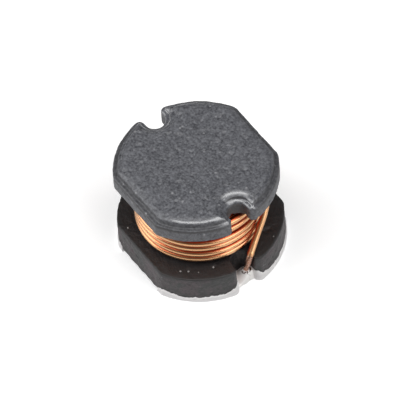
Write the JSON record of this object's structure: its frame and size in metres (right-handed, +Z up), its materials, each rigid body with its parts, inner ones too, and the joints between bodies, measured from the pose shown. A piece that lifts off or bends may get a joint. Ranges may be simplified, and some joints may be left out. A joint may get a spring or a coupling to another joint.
{
  "type": "unshielded drum-core smd power inductor",
  "caption": "Small surface-mount coil: a ferrite drum with notched flanges, an open winding of enamelled copper wire and tinned end terminals.",
  "frame": {"origin": "centre of the footprint on the board plane, on the axis of the drum", "axes": "+X through the two wire notches towards the terminal where the winding ends, +Y square to the two flats, +Z up along the drum's axis away from the board"},
  "size_m": [0.0044, 0.004, 0.0032],
  "materials": {
    "ferrite": "matt pressed and sintered ferrite, fine grain",
    "enamelled_copper": "glossy clear enamel over copper",
    "tin": "matt dipped tin over silver",
    "solder": "bright solder"
  },
  "bodies": {
    "root": {"drum_core": "ferrite", "winding": "enamelled_copper", "terminal_start": "tin", "terminal_finish": "tin", "solder_start": "solder", "solder_finish": "solder"}
  },
  "joints": []
}
